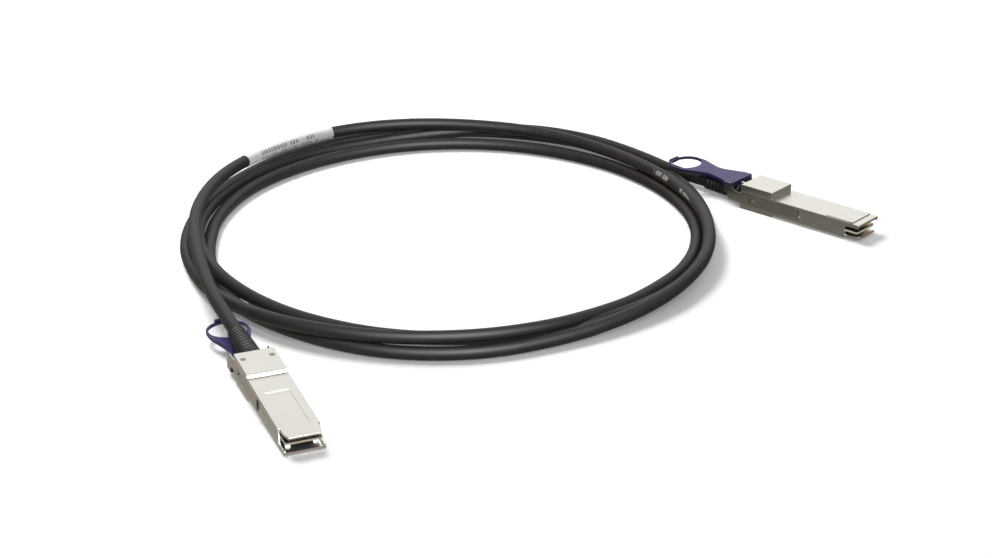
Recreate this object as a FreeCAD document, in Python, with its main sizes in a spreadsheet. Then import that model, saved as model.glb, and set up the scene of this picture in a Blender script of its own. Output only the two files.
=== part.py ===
"""Direct attach copper cable: two pluggable metal connectors with pull tabs,
joined by one round cable that lies in a loose coil. Millimetres, +Z up.

Each plug is built in its own axes: X runs from its rear face to its mouth,
Y across it, and Z from its flat side (0) to its tab side. The near plug lies
tab side down and nose down on its box, the far plug tab side up.
"""
import FreeCAD, Part
import math
import os
from FreeCAD import Placement, Rotation, Vector

doc = FreeCAD.newDocument("direct_attach_cable")
sheet = doc.addObject("Spreadsheet::Sheet", "Sizes")

SIZES = [
    # name, value, what it is
    ("plug_width", 18.35, "across both shells"),
    ("plug_height", 8.5, "flat side to tab side, in the cage"),
    ("plug_length", 72.4, "rear face to the tip of the lip"),
    ("wall", 1.2, "die-cast wall"),
    ("parting", 3.5, "height of the joint between the shells"),
    ("rear_length", 20.0, "section that stays outside the cage"),
    ("step_drop", 1.35, "how far the rear section stands down"),
    ("step_slope", 1.0, "length of the step's slope"),
    ("box_rise", 3.53, "height of the box over the tab side"),
    ("box_length", 19.5, "box, from the rear face"),
    ("box_inset", 0.15, "box side behind the shell's side"),
    ("side_end", 64.5, "where the side walls stop"),
    ("lip_thick", 1.6, "tab side's lip"),
    ("lip_flange", 2.3, "height of the lip's side flange"),
    ("lip_flange_wall", 0.9, "thickness of that flange"),
    ("nose_taper", 2.2, "how far the cover's nose draws in"),
    ("nose_start", 68.4, "where it starts"),
    ("pad_start", 52.6, "raised pad on the tab side"),
    ("pad_end", 68.4, "its front edge"),
    ("pad_rise", 0.3, "its height"),
    ("pad_inset", 0.9, "its edge behind the shell's side"),
    ("recess_start", 34.5, "shallow recess of the flat side"),
    ("recess_end", 63.5, "its front edge"),
    ("recess_width", 10.4, "across it"),
    ("recess_deep", 0.25, "its depth"),
    ("hollow_half", 6.9, "half width inside, behind the board"),
    ("board_thick", 1.0, "paddle card"),
    ("board_start", 36.0, "its rear edge"),
    ("board_back", 1.1, "lip's tip to its front edge"),
    ("board_width", 15.0, "across it, in the shells"),
    ("board_nose", 16.2, "across its tongue in the mouth"),
    ("board_neck", 58.0, "where the tongue starts"),
    ("board_play", 0.15, "shell wall to board edge"),
    ("post_size", 2.4, "square posts that clamp the board"),
    ("post_near", 42.0, "first pair"),
    ("post_far", 54.0, "second pair"),
    ("post_spread", 5.6, "posts from the middle"),
    ("key_size", 2.0, "square keys inside the lip"),
    ("key_rise", 0.9, "their height"),
    ("key_at", 67.0, "their middle"),
    ("key_spread", 6.0, "keys from the middle"),
    ("pad_pitch", 0.8, "contact pads, middle to middle"),
    ("pad_wide", 0.54, "one pad across"),
    ("pad_long", 4.6, "one pad along"),
    ("pad_thick", 0.05, "gold over the board"),
    ("pad_back", 0.9, "board's front edge to the pads"),
    ("chip_long", 4.4, "memory chip"),
    ("chip_wide", 3.0, "across it"),
    ("chip_thick", 0.9, "over the board"),
    ("chip_at", 48.0, "its middle"),
    ("cord_radius", 3.25, "cable jacket"),
    ("cord_axis", 3.9, "cable over the flat side"),
    ("cord_play", 0.05, "cable in its boot and label"),
    ("wall_play", 0.1, "pieces in the rear wall's holes"),
    ("rear_wall", 1.5, "rear wall of the shells"),
    ("boot_length", 28.0, "ribbed boot behind the shells"),
    ("boot_front", 5.1, "its radius at the shells"),
    ("boot_rear", 4.0, "its radius at the cable"),
    ("boot_neck", 4.2, "its radius in the rear wall"),
    ("rib_count", 9, "ribs round the boot"),
    ("rib_deep", 0.45, "grooves between them"),
    ("rib_start", 4.5, "shells to the first groove"),
    ("flange_thick", 1.5, "plate of the boot inside the wall"),
    ("flange_half", 6.4, "half its width"),
    ("flange_top", 7.9, "its upper edge"),
    ("flange_low", 0.1, "its lower edge"),
    ("ferrule_long", 6.0, "crimp ring on the braid"),
    ("ferrule_radius", 3.5, "outside it"),
    ("braid_radius", 2.8, "braid in the crimp ring"),
    ("fan_end", 24.0, "where the wires part"),
    ("fan_width", 13.0, "moulded fan, across"),
    ("fan_rows", 2.9, "moulded fan, high"),
    ("pair_wide", 2.4, "one twin wire across"),
    ("pair_thick", 0.9, "one twin wire high"),
    ("pair_pitch", 3.2, "wires, middle to middle"),
    ("pair_lap", 4.0, "wires over the board"),
    ("screw_at", 6.1, "screws from the rear face"),
    ("screw_inset", 2.575, "screws from the shell's side"),
    ("screw_head", 1.35, "head radius"),
    ("screw_head_deep", 0.7, "head in the cover"),
    ("screw_shank", 0.8, "shank radius"),
    ("screw_tip", 5.0, "shank's end over the flat side"),
    ("screw_play", 0.02, "round the head"),
    ("boss_radius", 1.7, "screw posts inside"),
    ("arm_thick", 0.5, "latch slide's sheet"),
    ("arm_play", 0.1, "round the arms in their grooves"),
    ("arm_low", 1.9, "arm's lower edge"),
    ("arm_high", 7.3, "arm's upper edge"),
    ("arm_end", 34.0, "where the arm's tip bends out"),
    ("arm_tip", 36.5, "arm's tip"),
    ("arm_kick", 0.9, "how far the tip stands out"),
    ("hook_rear", 10.9, "slide behind the shells"),
    ("hook_front", 6.1, "front of its uprights"),
    ("hook_top", 11.2, "top of its uprights"),
    ("hook_step", 5.5, "height of the notch at its rear"),
    ("hook_notch", 8.6, "notch behind the shells"),
    ("bridge_low", 9.0, "plate between the uprights"),
    ("slide_travel", 2.5, "pull of the tab"),
    ("pin_radius", 0.75, "guide pins in the shells"),
    ("pin_at", 6.2, "pins from the rear face"),
    ("pin_high", 4.4, "pins over the flat side"),
    ("hook_hollow", 3.6, "rounded corner between upright and arm"),
    ("pocket_start", 24.0, "spring pockets"),
    ("pocket_end", 32.0, "their front"),
    ("pocket_low", 3.1, "their lower edge"),
    ("pocket_high", 6.1, "their upper edge"),
    ("pocket_deep", 0.8, "under the arm's groove"),
    ("spring_strip", 0.25, "spring's sheet"),
    ("spring_folds", 5, "folds along it"),
    ("spring_side", 0.2, "spring to the pocket's sides"),
    ("tab_waist", 5.3, "half width of the tab's neck"),
    ("tab_waist_at", 23.5, "neck behind the shells"),
    ("tab_inner", 8.55, "half width between the uprights"),
    ("tab_front", 5.6, "front of its block behind the shells"),
    ("tab_block", 9.1, "half width of its front"),
    ("tab_low", 8.4, "underside of its block"),
    ("tab_thick", 1.9, "neck and ring"),
    ("ring_at", 42.0, "ring's middle behind the shells"),
    ("ring_long", 7.4, "hole's half length"),
    ("ring_wide", 8.7, "hole's half width"),
    ("ring_band", 1.4, "band round the hole"),
    ("grip_half", 4.2, "half width of the finger pad"),
    ("grip_rise", 1.0, "pad over and under the band"),
    ("slot_half", 2.2, "slot in the block's front"),
    ("slot_tall", 1.1, "its height"),
    ("label_radius", 3.6, "outside the wrapped label"),
    ("label_start", 246.0, "near shells to the label, along the cable"),
    ("label_end", 312.0, "its far end"),
    ("near_x", -137.32, "near plug's rear face"),
    ("near_y", -87.47, ""),
    ("near_turn", -67.4, "its heading"),
    ("far_x", 103.18, "far plug's rear face"),
    ("far_y", 120.03, ""),
    ("far_turn", -41.3, "its heading"),
    ("coil_x", -53.82, "middle of the coil"),
    ("coil_y", 74.43, ""),
]
for row, (name, value, note) in enumerate(SIZES, start=1):
    sheet.set("A%d" % row, name)
    sheet.set("B%d" % row, str(value))
    sheet.set("C%d" % row, note)
    sheet.setAlias("B%d" % row, name)
doc.recompute()


def size(name):
    return float(sheet.get(name))


def bind(obj, **sizes):
    """Bind properties of obj to formulas in the sheet's names."""
    for prop, formula in sizes.items():
        obj.setExpression(prop, cells(formula))


NAMES = sorted((name for name, _, _ in SIZES), key=len, reverse=True)


def cells(formula):
    """Put the sheet's name before each size that a formula names."""
    words = []
    word = ""
    for letter in formula + " ":
        if letter.isalnum() or letter == "_":
            word += letter
            continue
        words.append("Sizes." + word if word in NAMES else word)
        words.append(letter)
        word = ""
    return "".join(words).strip()


def box(label, x, y, z):
    """A box between two formulas along each axis."""
    solid = doc.addObject("Part::Box", label)
    for axis, side, (low, high) in (("x", "Length", x), ("y", "Width", y),
                                    ("z", "Height", z)):
        bind(solid, **{side: "(%s) - (%s)" % (high, low)})
        solid.setExpression(".Placement.Base." + axis, cells("1 mm * (%s)" % low))
    return solid


def rod(label, radius, length, x, y, z, along):
    """A cylinder from a point, along one of the plug's axes."""
    solid = doc.addObject("Part::Cylinder", label)
    bind(solid, Radius=radius, Height=length)
    solid.Placement.Rotation = Rotation(Vector(0, 0, 1), along)
    for axis, place in (("x", x), ("y", y), ("z", z)):
        solid.setExpression(".Placement.Base." + axis, cells("1 mm * (%s)" % place))
    return solid


def fuse(label, pieces):
    solid = doc.addObject("Part::MultiFuse", label)
    solid.Shapes = pieces
    return solid


def group(label, pieces):
    """Separate solids of one node."""
    solid = doc.addObject("Part::Compound", label)
    solid.Links = pieces
    return solid


def cut(label, base, tools):
    """Take one or more tools out of a base."""
    tool = tools[0] if len(tools) == 1 else fuse(label + "_tools", tools)
    solid = doc.addObject("Part::Cut", label)
    solid.Base = base
    solid.Tool = tool
    return solid


def feature(label, shape):
    solid = doc.addObject("Part::Feature", label)
    solid.Shape = shape
    return solid


def outline(edges):
    return Part.Wire(Part.__sortEdges__(edges))


def polygon(points):
    return Part.makePolygon(points + points[:1])


def pad(wire, direction):
    return Part.Face(wire).extrude(direction)


ALONG = Vector(1, 0, 0)
ACROSS = Vector(0, 1, 0)
UP = Vector(0, 0, 1)
HALF = "plug_width / 2"


def tab_side_shell(node):
    """Die-cast half with the box, the spring pockets and the upper lip."""
    body = fuse(node + "_body", [
        box(node + "_walls", ("0", "side_end"), ("-" + HALF, HALF), ("parting", "plug_height")),
        box(node + "_box", ("0", "box_length"),
            ("-" + HALF + " + box_inset", HALF + " - box_inset"),
            ("plug_height - wall", "plug_height + box_rise")),
        box(node + "_lip", ("side_end - wall", "plug_length"), ("-" + HALF, HALF),
            ("plug_height - lip_thick", "plug_height")),
        box(node + "_flange_left", ("side_end - wall", "plug_length"),
            (HALF + " - lip_flange_wall", HALF),
            ("plug_height - lip_flange", "plug_height")),
        box(node + "_flange_right", ("side_end - wall", "plug_length"),
            ("-" + HALF, "-" + HALF + " + lip_flange_wall"),
            ("plug_height - lip_flange", "plug_height")),
        box(node + "_pad", ("pad_start", "pad_end"),
            ("-" + HALF + " + pad_inset", HALF + " - pad_inset"),
            ("plug_height - lip_thick", "plug_height + pad_rise")),
    ])
    hollow = [
        box(node + "_hollow", ("rear_wall", "board_start - 1"), ("-hollow_half", "hollow_half"),
            ("0", "plug_height - wall")),
        box(node + "_hollow_box", ("rear_wall", "box_length - wall"),
            ("-hollow_half", "hollow_half"), ("0", "plug_height + box_rise - wall")),
        box(node + "_hollow_board", ("board_start - 1", "side_end + 1"),
            ("-board_width / 2 - board_play", "board_width / 2 + board_play"),
            ("0", "plug_height - lip_thick")),
        box(node + "_hollow_tongue", ("board_neck - board_play", "plug_length"),
            ("-board_nose / 2 - board_play", "board_nose / 2 + board_play"),
            ("0", "plug_height - lip_thick")),
        rod(node + "_boot_hole", "boot_neck + wall_play", "rear_wall + 2", "-1", "0",
            "cord_axis", ALONG),
    ]
    cast = cut(node + "_cast", body, hollow + side_cuts(node))
    posts = [box("%s_post_%d_%s" % (node, number, place),
                 (place + " - post_size / 2", place + " + post_size / 2"),
                 ("%d * post_spread - post_size / 2" % side,
                  "%d * post_spread + post_size / 2" % side),
                 ("parting + board_thick / 2", "plug_height - wall"))
             for number, side in enumerate((-1, 1)) for place in ("post_near", "post_far")]
    keys = [box("%s_key_%d" % (node, number), ("key_at - key_size / 2", "key_at + key_size / 2"),
                ("%d * key_spread - key_size / 2" % side, "%d * key_spread + key_size / 2" % side),
                ("plug_height - lip_thick - key_rise", "plug_height - lip_thick"))
            for number, side in enumerate((-1, 1))]
    bosses = [rod("%s_boss_%d" % (node, number), "boss_radius",
                  "plug_height + box_rise - wall - parting",
                  "screw_at", "%d * (plug_width / 2 - screw_inset)" % side, "parting", UP)
              for number, side in enumerate((-1, 1))]
    holes = [rod("%s_screw_hole_%d" % (node, number), "screw_shank + screw_play",
                 "screw_tip + 0.3 - parting + 1", "screw_at", "%d * (plug_width / 2 - screw_inset)" % side,
                 "parting - 1", UP)
             for number, side in enumerate((-1, 1))]
    whole = fuse(node + "_whole", [cast] + posts + keys + bosses)
    return cut(node, whole, holes + side_cuts(node + "_again"))


def side_cuts(node):
    """Grooves for the latch arms, their spring pockets and the pin holes."""
    cuts = []
    for number, side in enumerate((-1, 1)):
        deep = "%d * (plug_width / 2 - arm_thick - arm_play)" % side
        out = "%d * (plug_width / 2 + 1)" % side
        low, high = (deep, out) if side > 0 else (out, deep)
        cuts.append(box("%s_groove_%d" % (node, number), ("-1", "arm_tip + 2 * arm_play"),
                        (low, high), ("arm_low - arm_play", "arm_high + arm_play")))
        floor = "%d * (plug_width / 2 - arm_thick - arm_play - pocket_deep)" % side
        low, high = (floor, out) if side > 0 else (out, floor)
        cuts.append(box("%s_pocket_%d" % (node, number), ("pocket_start", "pocket_end"),
                        (low, high), ("pocket_low", "pocket_high")))
        start = "%d * (plug_width / 2 - arm_thick - arm_play - 0.8)" % side
        hole = rod("%s_pin_hole_%d" % (node, number), "pin_radius", "3",
                   "pin_at", start, "pin_high", Vector(0, side, 0))
        cuts.append(hole)
    return cuts


def flat_side_cover(node):
    """Die-cast half with the stepped rear, the recess and the lower lip."""
    half = size("plug_width") / 2
    step = size("rear_length")
    drop = size("step_drop")
    end = size("side_end")
    profile = polygon([Vector(0, -half, -drop), Vector(step, -half, -drop),
                       Vector(step + size("step_slope"), -half, 0), Vector(end, -half, 0),
                       Vector(end, -half, size("parting")), Vector(0, -half, size("parting"))])
    solid = feature(node + "_profile", pad(profile, ACROSS * size("plug_width")))
    nose = half - size("nose_taper")
    shoulder = half - size("pad_inset")
    plan = polygon([Vector(end - 3, -shoulder, 0), Vector(size("nose_start"), -shoulder, 0),
                    Vector(size("plug_length"), -nose, 0), Vector(size("plug_length"), nose, 0),
                    Vector(size("nose_start"), shoulder, 0), Vector(end - 3, shoulder, 0)])
    lip = feature(node + "_lip", pad(plan, UP * size("wall")))
    body = fuse(node + "_body", [solid, lip])
    hollow = [
        box(node + "_hollow", ("rear_wall", "board_start - 1"), ("-hollow_half", "hollow_half"),
            ("wall", "parting + 1")),
        box(node + "_hollow_rear", ("rear_wall", "rear_length - wall"),
            ("-hollow_half", "hollow_half"), ("wall - step_drop", "parting + 1")),
        box(node + "_hollow_board", ("board_start - 1", "side_end + 1"),
            ("-board_width / 2 - board_play", "board_width / 2 + board_play"),
            ("wall", "parting + 1")),
        box(node + "_hollow_tongue", ("board_neck - board_play", "plug_length + 1"),
            ("-board_nose / 2 - board_play", "board_nose / 2 + board_play"),
            ("wall", "parting + 1")),
        box(node + "_recess", ("recess_start", "recess_end"),
            ("-recess_width / 2", "recess_width / 2"), ("-1", "recess_deep")),
        rod(node + "_boot_hole", "boot_neck + wall_play", "rear_wall + 2", "-1", "0",
            "cord_axis", ALONG),
    ]
    cast = cut(node + "_cast", body, hollow)
    posts = [box("%s_post_%d_%s" % (node, number, place),
                 (place + " - post_size / 2", place + " + post_size / 2"),
                 ("%d * post_spread - post_size / 2" % side,
                  "%d * post_spread + post_size / 2" % side),
                 ("recess_deep + 0.2", "parting - board_thick / 2"))
             for number, side in enumerate((-1, 1)) for place in ("post_near", "post_far")]
    bosses = [rod("%s_boss_%d" % (node, number), "boss_radius", "parting + step_drop",
                  "screw_at", "%d * (plug_width / 2 - screw_inset)" % side, "-step_drop", UP)
              for number, side in enumerate((-1, 1))]
    holes = []
    for number, side in enumerate((-1, 1)):
        across = "%d * (plug_width / 2 - screw_inset)" % side
        holes.append(rod("%s_shank_hole_%d" % (node, number), "screw_shank + screw_play",
                         "parting + step_drop + 2", "screw_at", across, "-step_drop - 1", UP))
        holes.append(rod("%s_head_hole_%d" % (node, number), "screw_head + screw_play",
                         "screw_head_deep + 1", "screw_at", across, "-step_drop - 1", UP))
    whole = fuse(node + "_whole", [cast] + posts + bosses)
    return cut(node, whole, holes + side_cuts(node))


def screw(node, side):
    """Small cross-recess screw that holds the shells together."""
    across = "%d * (plug_width / 2 - screw_inset)" % side
    head = rod(node + "_head", "screw_head", "screw_head_deep", "screw_at", across,
               "-step_drop", UP)
    shank = rod(node + "_shank", "screw_shank", "screw_tip + step_drop - screw_head_deep / 2",
                "screw_at", across, "-step_drop + screw_head_deep / 2", UP)
    slots = [box("%s_slot_%d" % (node, turn), ("screw_at - %s" % a, "screw_at + %s" % a),
                 ("%s - %s" % (across, b), "%s + %s" % (across, b)),
                 ("-step_drop - 1", "-step_drop + screw_head_deep / 2"))
             for turn, (a, b) in enumerate((("screw_head * 0.62", "screw_head * 0.15"),
                                            ("screw_head * 0.15", "screw_head * 0.62")))]
    return cut(node, fuse(node + "_blank", [head, shank]), slots)


def guide_pin(node, side):
    """Pin pressed into one side, in the slot of the latch arm."""
    start = size("plug_width") / 2 - size("arm_thick") - size("arm_play") - 0.8
    root = Vector(size("pin_at"), side * start, size("pin_high"))
    shape = Part.makeCylinder(size("pin_radius"), size("plug_width") / 2 - start, root,
                              ACROSS * side)
    return feature(node, shape)


def paddle_card(node):
    """Board whose tongue fills the mouth, with its corners taken off."""
    low = "parting - board_thick / 2"
    high = "parting + board_thick / 2"
    board = fuse(node + "_blank", [
        box(node + "_rear", ("board_start", "board_neck"), ("-board_width / 2", "board_width / 2"),
            (low, high)),
        box(node + "_tongue", ("board_neck", "plug_length - board_back"), ("-board_nose / 2", "board_nose / 2"),
            (low, high)),
    ])
    card = doc.addObject("Part::Chamfer", node)
    card.Base = board
    doc.recompute()
    front = size("plug_length") - size("board_back")
    corners = [number for number, edge in enumerate(board.Shape.Edges, start=1)
               if abs(edge.BoundBox.XMin - front) < 0.01 and edge.BoundBox.YLength < 0.01
               and edge.BoundBox.ZLength > 0.5]
    card.Edges = [(number, 0.6, 0.6) for number in corners]
    return card


def contacts(node):
    """Gold pads on both faces of the tongue, an odd row across it."""
    count = int((size("board_nose") - size("pad_pitch")) / size("pad_pitch"))
    count -= 1 - count % 2
    made = []
    for face, low in (("top", "parting + board_thick / 2"),
                      ("low", "parting - board_thick / 2 - pad_thick")):
        for number in range(count):
            across = "%d * pad_pitch" % (number - count // 2)
            made.append(box("%s_%s_%d" % (node, face, number),
                            ("plug_length - board_back - pad_back - pad_long", "plug_length - board_back - pad_back"),
                            ("%s - pad_wide / 2" % across, "%s + pad_wide / 2" % across),
                            (low, low + " + pad_thick")))
    return group(node, made)


def memory_chip(node):
    """Chip that tells the host what cable it is."""
    return group(node, [box(node + "_block",
                            ("chip_at - chip_long / 2", "chip_at + chip_long / 2"),
                            ("-chip_wide / 2", "chip_wide / 2"),
                            ("parting + board_thick / 2", "parting + board_thick / 2 + chip_thick"))])


def crimp_ring(node):
    """Metal ring crimped on the cable's braid behind the wire fan."""
    start = "rear_wall + wall_play + flange_thick"
    ring = rod(node + "_ring", "ferrule_radius", "ferrule_long", start, "0", "cord_axis", ALONG)
    bore = rod(node + "_bore", "braid_radius", "ferrule_long + 2", start + " - 1", "0",
               "cord_axis", ALONG)
    return cut(node, ring, [bore])


def wire_fan(node):
    """Braid, then the mould in which the wires spread from round to flat."""
    start = size("rear_wall") + size("wall_play") + size("flange_thick")
    loft_start = start + size("ferrule_long")
    axis = size("cord_axis")
    braid = Part.makeCylinder(size("braid_radius"), size("ferrule_long"),
                              Vector(start, 0, axis), ALONG)
    round_end = Part.Wire(Part.makeCircle(size("braid_radius"), Vector(loft_start, 0, axis),
                                          ALONG))
    half = size("fan_width") / 2
    rise = size("fan_rows") / 2
    middle = size("parting")
    end = size("fan_end")
    flat_end = polygon([Vector(end, -half, middle - rise), Vector(end, half, middle - rise),
                        Vector(end, half, middle + rise), Vector(end, -half, middle + rise)])
    fan = Part.makeLoft([round_end, flat_end], True, True)
    return feature(node, braid.fuse(fan).removeSplitter())


def twin_wires(node):
    """Eight twin wires, four on each face of the board."""
    made = []
    for row, low in (("top", "parting + board_thick / 2"),
                     ("low", "parting - board_thick / 2 - pair_thick")):
        for number in range(4):
            across = "%.1f * pair_pitch" % (number - 1.5)
            made.append(box("%s_%s_%d" % (node, row, number),
                            ("fan_end", "board_start + pair_lap"),
                            ("%s - pair_wide / 2" % across, "%s + pair_wide / 2" % across),
                            (low, low + " + pair_thick")))
    return group(node, made)


def boot(node):
    """Ribbed rubber boot, turned in one profile, with its plate in the shells."""
    body = doc.addObject("PartDesign::Body", node)
    sketch = body.newObject("Sketcher::SketchObject", node + "_profile")
    plane = [f for f in body.Origin.OriginFeatures if f.Role == "XZ_Plane"][0]
    sketch.AttachmentSupport = (plane, [""])
    sketch.MapMode = "FlatFace"
    axis = size("cord_axis")
    length = size("boot_length")
    start = size("rib_start")
    count = int(size("rib_count"))
    pitch = (length - start) / (count + 0.5)

    def outside(x):
        share = -x / length
        return size("boot_front") + (size("boot_rear") - size("boot_front")) * share

    neck = size("rear_wall") + size("wall_play")
    points = [(neck, size("boot_neck")), (0, size("boot_neck")),
              (0, outside(0))]
    for number in range(count):
        middle = -start - number * pitch
        for shift, deep in ((0.32, 0), (0.12, 1), (-0.12, 1), (-0.32, 0)):
            x = middle + shift * pitch
            points.append((x, outside(x) - deep * size("rib_deep")))
    points.append((-length, outside(-length)))
    bore = size("cord_radius") + size("cord_play")
    points.append((-length, bore))
    points.append((0, bore))
    points.append((0, 0))
    points.append((neck, 0))
    for here, there in zip(points, points[1:] + points[:1]):
        sketch.addGeometry(Part.LineSegment(Vector(here[0], here[1] + axis, 0),
                                            Vector(there[0], there[1] + axis, 0)))
    sketch.addGeometry(Part.LineSegment(Vector(-length, axis, 0), Vector(5, axis, 0)), True)
    turned = body.newObject("PartDesign::Revolution", node + "_turned")
    turned.Profile = sketch
    turned.ReferenceAxis = (sketch, ["Axis0"])
    turned.Angle = 360
    plate_sketch = body.newObject("Sketcher::SketchObject", node + "_plate_outline")
    face = [f for f in body.Origin.OriginFeatures if f.Role == "YZ_Plane"][0]
    plate_sketch.AttachmentSupport = (face, [""])
    plate_sketch.MapMode = "FlatFace"
    plate_sketch.AttachmentOffset = Placement(Vector(0, 0, neck), Rotation())
    half = size("flange_half")
    corners = [(-half, size("flange_low")), (half, size("flange_low")),
               (half, size("flange_top")), (-half, size("flange_top"))]
    for here, there in zip(corners, corners[1:] + corners[:1]):
        plate_sketch.addGeometry(Part.LineSegment(Vector(here[0], here[1], 0),
                                                  Vector(there[0], there[1], 0)))
    plate = body.newObject("PartDesign::Pad", node + "_plate")
    plate.Profile = plate_sketch
    plate.setExpression("Length", cells("flange_thick"))
    return body



def latch_blank(node):
    """Sheet-metal slide: two arms with uprights, joined by a plate."""
    half = size("plug_width") / 2
    inner = half - size("arm_thick")
    rear = -size("hook_rear")
    front = -size("hook_front")
    top = size("hook_top")
    low = size("arm_low")
    high = size("arm_high")
    end = size("arm_end")
    tip = size("arm_tip")
    kick = size("arm_kick")
    pieces = []
    for side in (-1, 1):
        start = inner if side > 0 else -half
        corner = Vector(front + size("hook_hollow"), start, high)
        hollow = Part.BezierCurve()
        hollow.setPoles([Vector(front, start, top), Vector(front + 0.2, start, high + 0.4),
                         corner])
        heel = Part.BezierCurve()
        heel.setPoles([Vector(front, start, low), Vector(-size("hook_notch") + 0.6, start, low),
                       Vector(-size("hook_notch"), start, size("hook_step") - 0.6)])
        ends = [hollow.value(1), Vector(end, start, high), Vector(end, start, low),
                heel.value(0)]
        back = [heel.value(1), Vector(rear + 0.5, start, size("hook_step")),
                Vector(rear, start, size("hook_step") + 0.8), Vector(rear, start, top),
                hollow.value(0)]
        straight = [Part.makeLine(a, b) for line in (ends, back)
                    for a, b in zip(line, line[1:])]
        side_view = outline(straight + [hollow.toShape(), heel.toShape()])
        pieces.append(pad(side_view, ACROSS * size("arm_thick")))
        tip_view = polygon([Vector(end, side * inner, low + 0.6), Vector(end, side * half, low + 0.6),
                            Vector(tip, side * (half + kick), low + 0.6),
                            Vector(tip, side * (inner + kick), low + 0.6)])
        pieces.append(pad(tip_view, UP * (high - low - 1.2)))
        lug_in = half - size("arm_thick") - size("arm_play") - size("pocket_deep") + 0.15
        lug_at = size("pocket_end") - 1
        lug_start = lug_in if side > 0 else -inner
        pieces.append(Part.makeBox(size("arm_thick"), inner - lug_in,
                                   size("pocket_high") - size("pocket_low") - 0.8,
                                   Vector(lug_at, lug_start, size("pocket_low") + 0.4)))
    bridge = Part.makeBox(front - rear, 2 * inner, size("arm_thick"),
                          Vector(rear, -inner, size("bridge_low")))
    shape = pieces[0].multiFuse(pieces[1:] + [bridge]).removeSplitter()
    return feature(node + "_blank", shape)


def latch(node, blank):
    """The slide with its stop slots."""
    slots = []
    for number, side in enumerate((-1, 1)):
        start = "plug_width / 2 - arm_thick - 1" if side > 0 else "-plug_width / 2 - 1"
        slots.append(box("%s_slot_%d" % (node, number),
                         ("pin_at", "pin_at + slide_travel"), (start, start + " + 2.5"),
                         ("pin_high - pin_radius - arm_play", "pin_high + pin_radius + arm_play")))
        for place, label in (("pin_at", "rear"), ("pin_at + slide_travel", "front")):
            slots.append(rod("%s_slot_%s_%d" % (node, label, number), "pin_radius + arm_play",
                             "2.5", place, start, "pin_high", ACROSS))
    return cut(node, blank, slots)


def pull_tab(node, metal):
    """Soft tab moulded over the plate: block, neck and finger ring."""
    thick = size("tab_thick")
    top = size("hook_top")
    low = top - thick
    at = -size("ring_at")
    long_half = size("ring_long") + size("ring_band")
    wide_half = size("ring_wide") + size("ring_band")
    turned = Placement(Vector(at, 0, low), Rotation(UP, 90))

    def oval(wide, long, rise, base):
        ellipse = Part.Wire(Part.Ellipse(Vector(0, 0, 0), wide, long).toShape())
        ellipse.Placement = Placement(Vector(at, 0, base), turned.Rotation)
        return pad(ellipse, UP * rise)

    rim = oval(wide_half, long_half, thick, low)
    waist = size("tab_waist")
    waist_at = -size("tab_waist_at")
    rear = -size("hook_rear")
    inner = size("tab_inner")
    side = [Vector(at + 1.5, wide_half - 0.2, low), Vector(at + 6, wide_half - 0.6, low),
            Vector(at + 11, waist + 2.0, low), Vector(at + 15, waist + 0.7, low),
            Vector(waist_at, waist, low), Vector(waist_at + 5.5, waist + 1.1, low),
            Vector(rear - 3.1, inner - 1.05, low), Vector(rear, inner, low)]
    left = Part.BSplineCurve()
    left.interpolate(side)
    right = Part.BSplineCurve()
    right.interpolate([Vector(p.x, -p.y, p.z) for p in side])
    ends = [Part.makeLine(side[0], Vector(side[0].x, -side[0].y, low)),
            Part.makeLine(side[-1], Vector(side[-1].x, -side[-1].y, low))]
    neck = pad(outline([left.toShape(), right.toShape()] + ends), UP * thick)
    front = -size("tab_front")
    block_low = size("tab_low")
    block = Part.makeBox(front - rear, 2 * inner, top - block_low, Vector(rear, -inner, block_low))
    nose = Part.makeBox(1.4, 2 * size("tab_block"), top - block_low,
                        Vector(front - 1.4, -size("tab_block"), block_low))
    grip_rise = size("grip_rise")
    grip = Part.makeBox(1.7, 2 * size("grip_half"), thick + 2 * grip_rise,
                        Vector(at - long_half - 0.8, -size("grip_half"), low - grip_rise))
    whole = rim.multiFuse([neck, block, nose, grip])
    hole = oval(size("ring_wide"), size("ring_long"), thick + 4, low - 2)
    slot = Part.makeBox(1.5, 2 * size("slot_half"), size("slot_tall"),
                        Vector(front - 1.4, -size("slot_half"), size("bridge_low") - 0.3))
    arch = Part.makeCylinder(size("boot_front") + 0.3, 3 - at, Vector(at, 0, size("cord_axis")),
                             ALONG)
    blank = feature(node + "_blank", whole.cut(hole).cut(slot).cut(arch).removeSplitter())
    return cut(node, blank, [metal])


def spring(node, side):
    """Folded strip in its pocket, between the shell and the arm's lug."""
    strip = size("spring_strip")
    start = size("pocket_start")
    end = size("pocket_end") - 1
    low = size("pocket_low") + size("spring_side")
    high = size("pocket_high") - size("spring_side")
    floor = size("plug_width") / 2 - size("arm_thick") - size("arm_play") - size("pocket_deep")
    near = floor + 0.1
    far = floor + size("pocket_deep")
    base = near if side > 0 else -far
    count = 2 * int(size("spring_folds"))
    pitch = (end - start - strip) / count
    legs = [Part.makeBox(strip, far - near, high - low,
                         Vector(start + number * pitch, base, low)) for number in range(count + 1)]
    for number in range(count):
        place = high - strip if number % 2 else low
        legs.append(Part.makeBox(pitch + strip, far - near, strip,
                                 Vector(start + number * pitch, base, place)))
    return feature(node, legs[0].multiFuse(legs[1:]).removeSplitter())


nodes = []


def keep(obj, node, place):
    obj.Label = node
    obj.Placement = place
    nodes.append(obj)


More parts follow.
